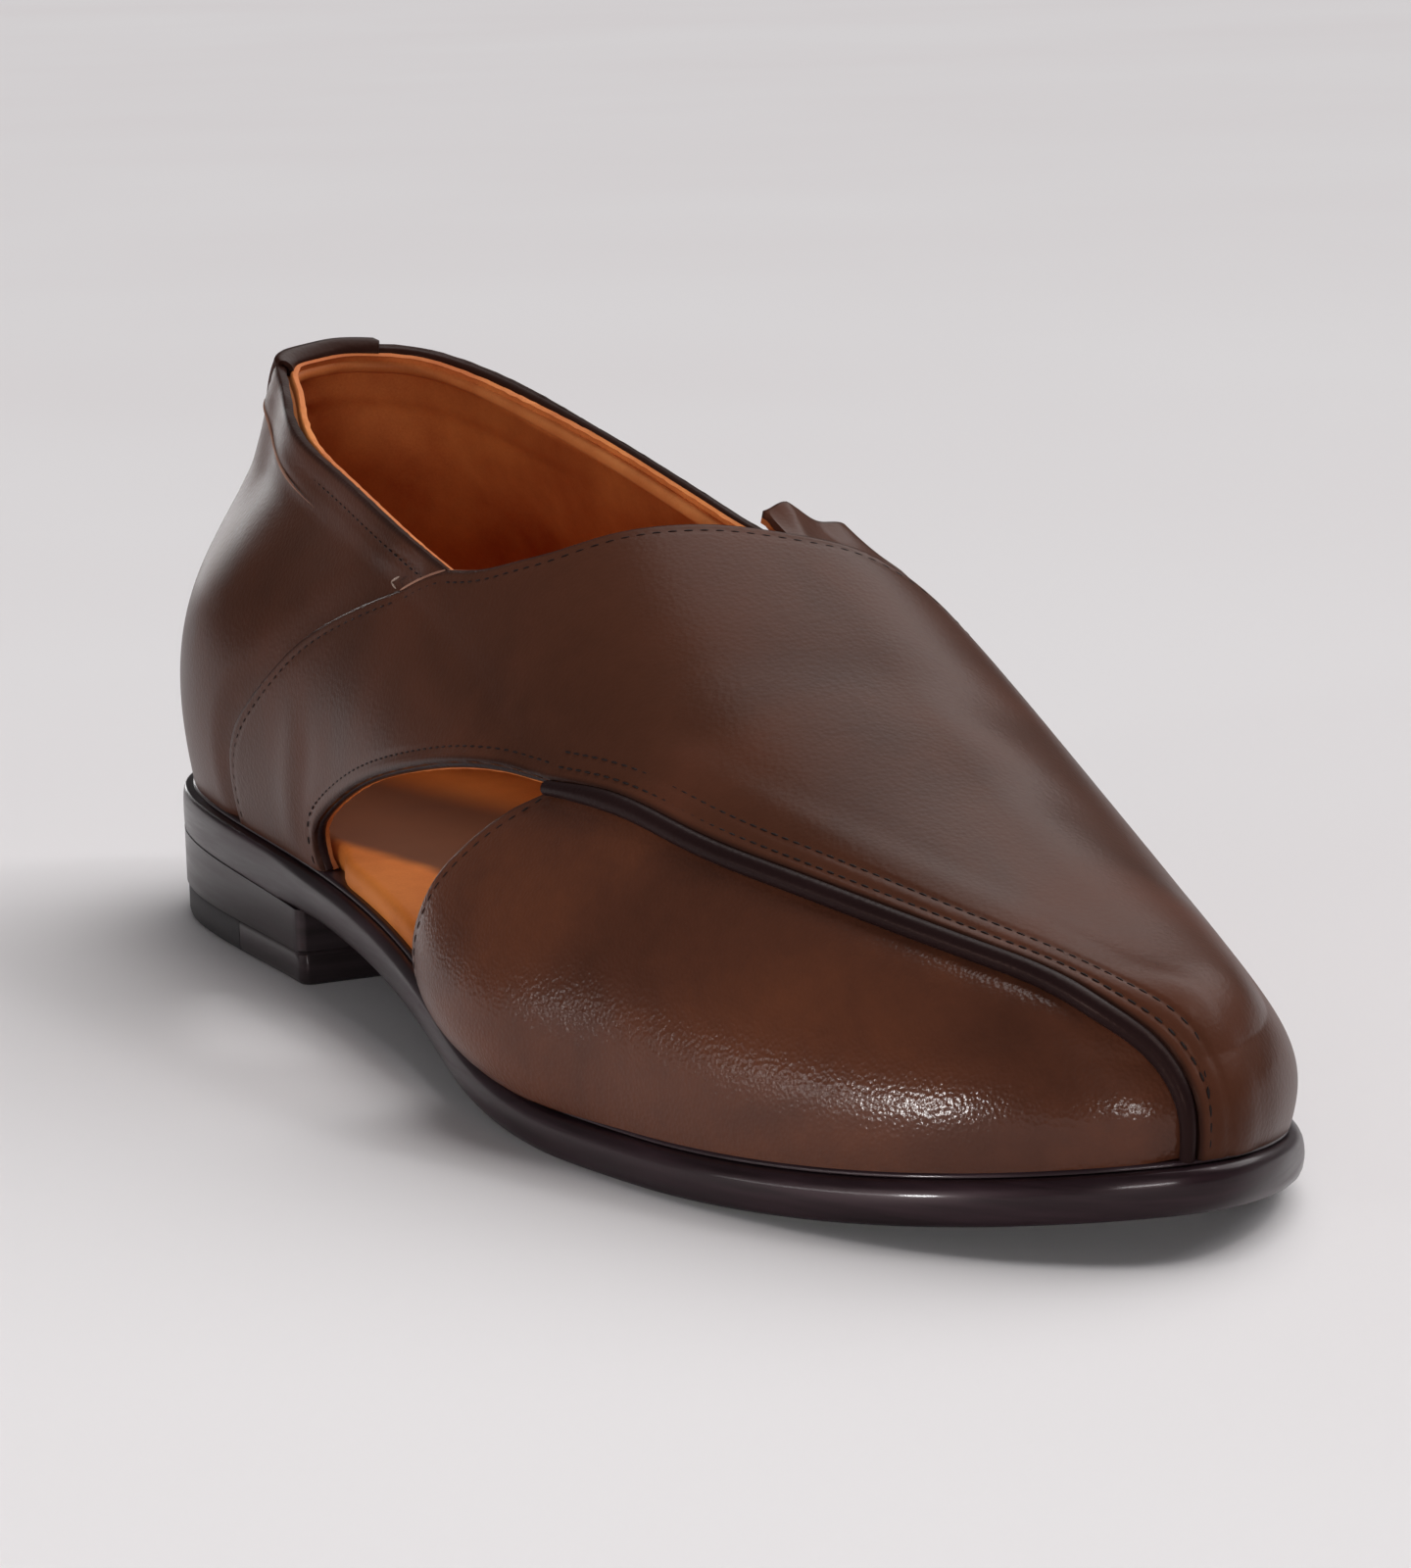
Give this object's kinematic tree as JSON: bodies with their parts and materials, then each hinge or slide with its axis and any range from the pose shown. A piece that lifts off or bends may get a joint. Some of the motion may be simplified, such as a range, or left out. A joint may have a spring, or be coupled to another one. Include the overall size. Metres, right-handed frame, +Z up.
{
  "type": "peshawari chappal",
  "caption": "Closed-toe leather sandal for the right foot: crossed vamp panels, side cut-outs, open collar, leather sole and low stacked heel.",
  "frame": {"origin": "on the floor, under the middle of the shoe's bounding box", "axes": "+X from heel to toe, +Y towards the medial side (the wearer's left, since this is a right shoe), +Z up"},
  "size_m": [0.3002, 0.101, 0.0927],
  "materials": {
    "upper_leather": "smooth dark brown, satin",
    "insole_leather": "tan, satin",
    "sole_edge_leather": "burnished near-black edge",
    "heel_leather": "stacked, burnished near-black",
    "heel_rubber": "matt black"
  },
  "bodies": {
    "root": {"upper": "upper_leather", "back_strip": "upper_leather", "insole": "insole_leather", "midsole": "sole_edge_leather", "outsole": "sole_edge_leather", "heel_block": "heel_leather", "heel_top_piece": "heel_rubber", "heel_top_front": "heel_leather"}
  },
  "joints": []
}
